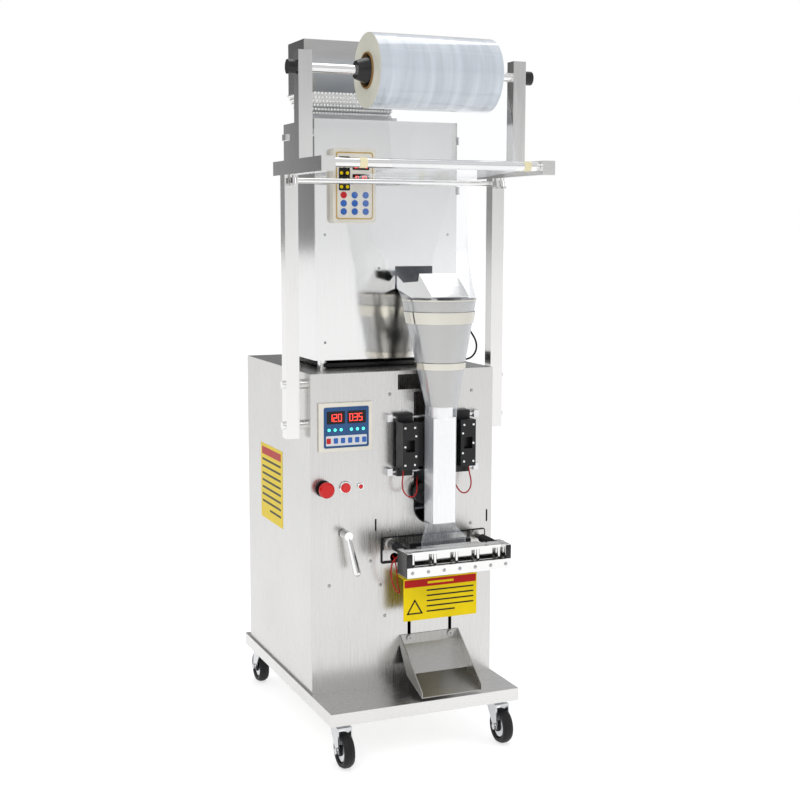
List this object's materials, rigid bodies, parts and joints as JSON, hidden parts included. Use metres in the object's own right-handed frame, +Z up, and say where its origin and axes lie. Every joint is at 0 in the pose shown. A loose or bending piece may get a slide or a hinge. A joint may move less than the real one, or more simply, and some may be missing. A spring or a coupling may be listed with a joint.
{
  "type": "vertical form fill sealer",
  "caption": "Small stainless vertical form fill sealer on casters, with film reel, weigher, forming funnel, sealing jaws and exit chute.",
  "frame": {"origin": "on the floor under the middle of the machine's bounding box", "axes": "+Z up, -Y towards the operator's side with the jaws and chute, +X to the operator's right"},
  "size_m": [0.564, 0.728, 1.5725],
  "materials": {
    "brushed_stainless": "brushed, slightly uneven satin",
    "polished_steel": "polished",
    "bright_tube": "bright satin",
    "zinc_plate": "zinc plated",
    "black_rubber": "matt",
    "black_plastic": "satin moulded",
    "black_aluminium": "black anodised",
    "plain_aluminium": "machined",
    "motor_grey": "satin paint",
    "panel_plastic": "satin moulded",
    "red_plastic": "gloss moulded",
    "kraft_core": "wound paper tube",
    "film_stack": "wound clear film",
    "clear_film": "clear film",
    "notice_yellow": null,
    "red_wire": "silicone sleeve",
    "black_cable": "smooth sleeve"
  },
  "bodies": {
    "machine_frame": {"base_tray": "brushed_stainless", "cabinet_shell": "brushed_stainless", "front_panel": "brushed_stainless", "frame_posts": "brushed_stainless", "frame_arms": "brushed_stainless", "weigher_housing": "brushed_stainless", "weigher_front_cover": "brushed_stainless", "supply_hopper": "brushed_stainless", "discharge_spout": "brushed_stainless", "forming_cone": "brushed_stainless", "weigh_bucket": "brushed_stainless", "jaw_bearing_plate": "brushed_stainless", "frame_bolts": "polished_steel", "forming_tube": "bright_tube", "caster_plates": "zinc_plate", "seal_guide_rods": "plain_aluminium", "load_cell": "plain_aluminium", "gearmotor": "motor_grey", "feed_stepper": "motor_grey", "vibrator_coil": "motor_grey", "electrical_box": "motor_grey", "control_panel": "panel_plastic", "weigher_controller": "panel_plastic", "packaging_film": "clear_film", "notice_plate": "notice_yellow", "sensor_cable": "black_cable"},
    "film_reel": {"roll_shaft": "polished_steel", "roll_collars": "black_plastic", "paper_core": "kraft_core", "film_roll": "film_stack"},
    "front_bar": {"front_film_bar": "polished_steel"},
    "rear_bar": {"rear_film_bar": "polished_steel"},
    "cabinet_door": {"cabinet_rear_door": "brushed_stainless"},
    "weigher_door": {"weigher_rear_door": "brushed_stainless"},
    "gate_slide": {"hopper_gate": "plain_aluminium"},
    "bucket_flap": {"bucket_gate": "brushed_stainless"},
    "feed_trough": {"vibrating_trough": "brushed_stainless"},
    "left_seal": {"left_sealer": "black_aluminium", "left_seal_wire": "red_wire"},
    "right_seal": {"right_sealer": "black_aluminium", "right_seal_wire": "red_wire"},
    "left_wheel": {"left_pull_wheel": "black_rubber"},
    "right_wheel": {"right_pull_wheel": "black_rubber"},
    "front_seal_jaw": {"front_jaw": "polished_steel", "jaw_guide_rods": "polished_steel"},
    "rear_seal_jaw": {"rear_jaw": "black_aluminium", "jaw_wire": "red_wire"},
    "crank": {"crank_disc": "zinc_plate"},
    "stop_button": {"emergency_stop": "red_plastic"},
    "power_button": {"power_switch": "red_plastic"},
    "lever": {"clamp_lever": "polished_steel"},
    "chute": {"product_chute": "brushed_stainless"},
    "front_left_swivel": {"front_left_caster_fork": "zinc_plate"},
    "front_left_roller": {"front_left_caster_wheel": "black_rubber"},
    "front_right_swivel": {"front_right_caster_fork": "zinc_plate"},
    "front_right_roller": {"front_right_caster_wheel": "black_rubber"},
    "rear_left_swivel": {"rear_left_caster_fork": "zinc_plate"},
    "rear_left_roller": {"rear_left_caster_wheel": "black_rubber"},
    "rear_right_swivel": {"rear_right_caster_fork": "zinc_plate"},
    "rear_right_roller": {"rear_right_caster_wheel": "black_rubber"}
  },
  "joints": [
    {"name": "film_reel_spin", "type": "hinge", "parent": "machine_frame", "child": "film_reel", "pos_m": [0.0355, -0.212, 1.4845], "axis": [1, 0, 0], "continuous": true},
    {"name": "front_bar_spin", "type": "hinge", "parent": "machine_frame", "child": "front_bar", "pos_m": [0, -0.344, 1.2865], "axis": [1, 0, 0], "continuous": true},
    {"name": "rear_bar_spin", "type": "hinge", "parent": "machine_frame", "child": "rear_bar", "pos_m": [0, -0.112, 1.2575], "axis": [1, 0, 0], "continuous": true},
    {"name": "cabinet_door_hinge", "type": "hinge", "parent": "machine_frame", "child": "cabinet_door", "pos_m": [0.2265, 0.306, 0.4865], "axis": [0, 0, -1], "range_deg": [0, 110]},
    {"name": "weigher_door_hinge", "type": "hinge", "parent": "machine_frame", "child": "weigher_door", "pos_m": [0.1795, 0.146, 1.1265], "axis": [0, 0, -1], "range_deg": [0, 110]},
    {"name": "hopper_gate_slide", "type": "slide", "parent": "machine_frame", "child": "gate_slide", "axis": [1, 0, 0], "range_m": [0, 0.06]},
    {"name": "bucket_flap_hinge", "type": "hinge", "parent": "machine_frame", "child": "bucket_flap", "pos_m": [0.066, 0.113, 1.1529], "axis": [1, 0, 0], "range_deg": [0, 60]},
    {"name": "feed_trough_shake", "type": "slide", "parent": "machine_frame", "child": "feed_trough", "axis": [1, 0, 0], "range_m": [-0.001, 0.001], "stiffness_N_per_m": 20000},
    {"name": "left_seal_slide", "type": "slide", "parent": "machine_frame", "child": "left_seal", "axis": [1, 0, 0], "range_m": [0, 0.012]},
    {"name": "right_seal_slide", "type": "slide", "parent": "machine_frame", "child": "right_seal", "axis": [-1, 0, 0], "range_m": [0, 0.012]},
    {"name": "left_wheel_spin", "type": "hinge", "parent": "machine_frame", "child": "left_wheel", "pos_m": [0.0412, -0.182, 0.5665], "axis": [0, 1, 0], "continuous": true},
    {"name": "right_wheel_spin", "type": "hinge", "parent": "machine_frame", "child": "right_wheel", "pos_m": [0.0908, -0.182, 0.5665], "axis": [0, 1, 0], "continuous": true},
    {"name": "front_jaw_slide", "type": "slide", "parent": "machine_frame", "child": "front_seal_jaw", "axis": [0, 1, 0], "range_m": [0, 0.0152]},
    {"name": "rear_jaw_slide", "type": "slide", "parent": "machine_frame", "child": "rear_seal_jaw", "axis": [0, -1, 0], "range_m": [0, 0.0152]},
    {"name": "crank_turn", "type": "hinge", "parent": "machine_frame", "child": "crank", "pos_m": [0.08, -0.056, 0.4535], "axis": [-1, 0, 0], "range_deg": [0, 50]},
    {"name": "stop_button_push", "type": "slide", "parent": "machine_frame", "child": "stop_button", "axis": [0, 1, 0], "range_m": [0, 0.005]},
    {"name": "power_button_push", "type": "slide", "parent": "machine_frame", "child": "power_button", "axis": [0, 1, 0], "range_m": [0, 0.003], "stiffness_N_per_m": 1200},
    {"name": "lever_turn", "type": "hinge", "parent": "machine_frame", "child": "lever", "pos_m": [-0.1455, -0.186, 0.4865], "axis": [0, 1, 0], "range_deg": [-45, 45]},
    {"name": "chute_height", "type": "slide", "parent": "machine_frame", "child": "chute", "axis": [0, 0, 1], "range_m": [0, 0.08]},
    {"name": "front_left_swivel_turn", "type": "hinge", "parent": "machine_frame", "child": "front_left_swivel", "pos_m": [-0.19, -0.258, 0.0895], "axis": [0, 0, 1], "continuous": true},
    {"name": "front_left_wheel_spin", "type": "hinge", "parent": "front_left_swivel", "child": "front_left_roller", "pos_m": [-0.19, -0.288, 0.039], "axis": [1, 0, 0], "continuous": true},
    {"name": "front_right_swivel_turn", "type": "hinge", "parent": "machine_frame", "child": "front_right_swivel", "pos_m": [0.19, -0.258, 0.0895], "axis": [0, 0, 1], "continuous": true},
    {"name": "front_right_wheel_spin", "type": "hinge", "parent": "front_right_swivel", "child": "front_right_roller", "pos_m": [0.19, -0.288, 0.039], "axis": [1, 0, 0], "continuous": true},
    {"name": "rear_left_swivel_turn", "type": "hinge", "parent": "machine_frame", "child": "rear_left_swivel", "pos_m": [-0.19, 0.295, 0.0895], "axis": [0, 0, 1], "continuous": true},
    {"name": "rear_left_wheel_spin", "type": "hinge", "parent": "rear_left_swivel", "child": "rear_left_roller", "pos_m": [-0.19, 0.325, 0.039], "axis": [1, 0, 0], "continuous": true},
    {"name": "rear_right_swivel_turn", "type": "hinge", "parent": "machine_frame", "child": "rear_right_swivel", "pos_m": [0.19, 0.295, 0.0895], "axis": [0, 0, 1], "continuous": true},
    {"name": "rear_right_wheel_spin", "type": "hinge", "parent": "rear_right_swivel", "child": "rear_right_roller", "pos_m": [0.19, 0.325, 0.039], "axis": [1, 0, 0], "continuous": true}
  ],
  "couplings": [
    {"joint": "right_seal_slide", "follows": "left_seal_slide", "ratio": 1},
    {"joint": "right_wheel_spin", "follows": "left_wheel_spin", "ratio": -1},
    {"joint": "rear_jaw_slide", "follows": "front_jaw_slide", "ratio": 1},
    {"joint": "crank_turn", "follows": "front_jaw_slide", "rad_per_m": 57.36}
  ]
}
